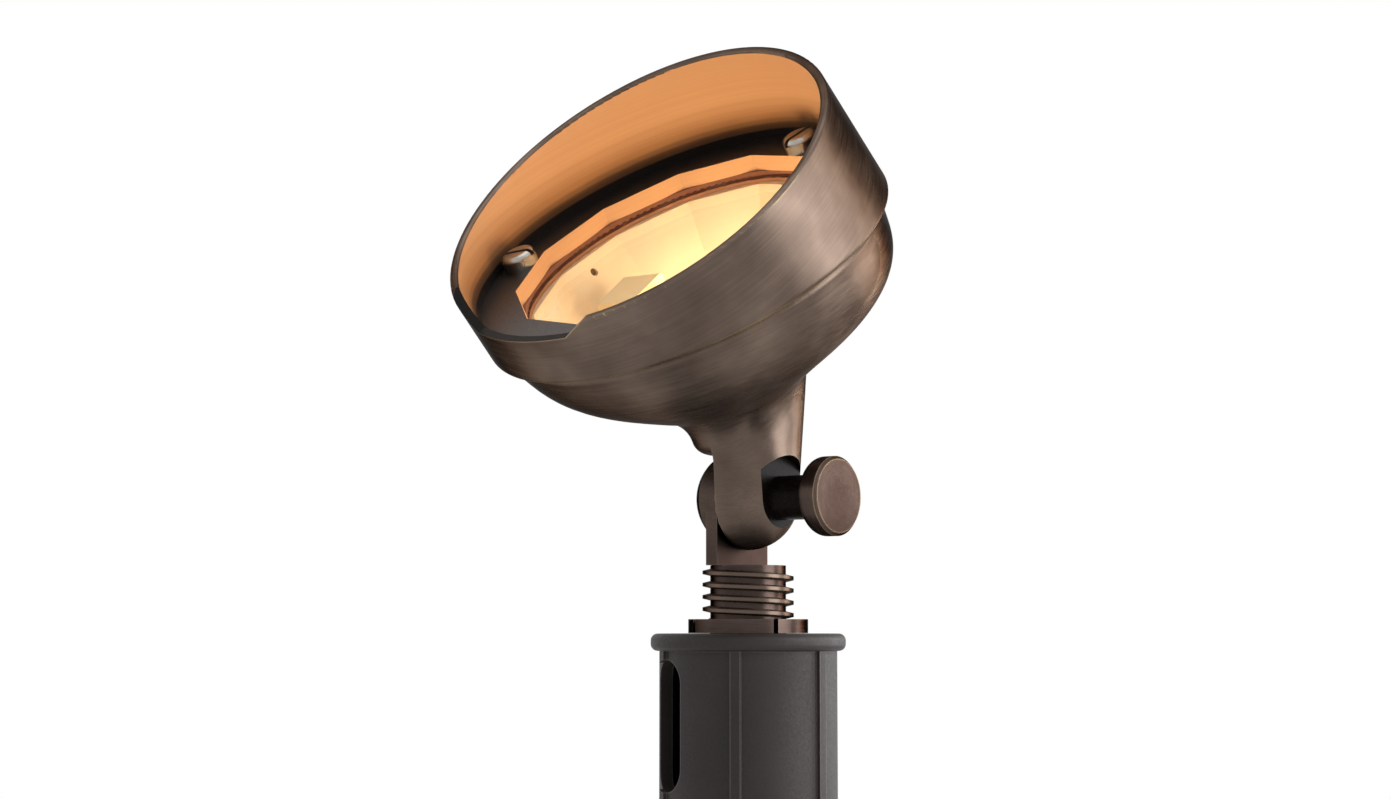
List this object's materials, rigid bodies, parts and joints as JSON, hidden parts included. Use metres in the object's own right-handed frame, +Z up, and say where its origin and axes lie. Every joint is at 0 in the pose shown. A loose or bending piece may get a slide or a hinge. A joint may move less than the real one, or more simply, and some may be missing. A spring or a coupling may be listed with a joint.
{
  "type": "landscape flood light",
  "caption": "Cast brass garden flood light: a round hooded head with a faceted reflector on a toothed tilt knuckle, threaded stem and ground stake.",
  "frame": {"origin": "on the stem's axis at the underside of the stake's flange, which is the ground line", "axes": "+Z up along the stem, +X along the tilt axis towards the thumbscrew, -Y the way the light faces"},
  "size_m": [0.0976, 0.0958, 0.3158],
  "materials": {
    "bronzed_brass": "brushed, antique bronze",
    "tempered_glass": "clear",
    "silicone": "matte",
    "reflector_sheet": "satin",
    "plated_steel": "plated",
    "ceramic": "unglazed ceramic",
    "circuit_board": "white solder mask",
    "phosphor": "phosphor gel",
    "chip_black": "moulded",
    "clear_silicone": "clear",
    "lead_insulation": "silicone insulation",
    "black_rubber": "matte",
    "stake_plastic": "moulded"
  },
  "bodies": {
    "stake": {"stake": "stake_plastic"},
    "stem": {"stem": "bronzed_brass", "cord_bushing": "black_rubber"},
    "head": {"housing": "bronzed_brass", "hood": "bronzed_brass", "lens": "tempered_glass", "lens_gasket": "silicone", "reflector": "reflector_sheet", "holder_bracket": "plated_steel", "bracket_screws": "plated_steel", "lamp_holder": "ceramic", "socket_contacts": "plated_steel", "lamp_pins": "plated_steel", "lamp_board": "circuit_board", "lamp_emitters": "phosphor", "lamp_chips": "chip_black", "lamp_body": "clear_silicone", "lead_wires": "lead_insulation", "lead_plug": "black_rubber", "hood_screws": "plated_steel"},
    "thumbscrew": {"thumbscrew": "bronzed_brass"},
    "locknut": {"locknut": "bronzed_brass"}
  },
  "joints": [
    {"name": "pan", "type": "hinge", "parent": "stake", "child": "stem", "pos_m": [0, 0, 0], "axis": [0, 0, 1], "range_deg": [-180, 180]},
    {"name": "tilt", "type": "hinge", "parent": "stem", "child": "head", "pos_m": [0, 0, 0.0351], "axis": [1, 0, 0], "range_deg": [-80, 65]},
    {"name": "thumb_turn", "type": "hinge", "parent": "stem", "child": "thumbscrew", "pos_m": [0, 0, 0.0351], "axis": [1, 0, 0], "continuous": true},
    {"name": "nut_turn", "type": "hinge", "parent": "stem", "child": "locknut", "pos_m": [0, 0, 0.0057], "axis": [0, 0, 1], "continuous": true}
  ]
}
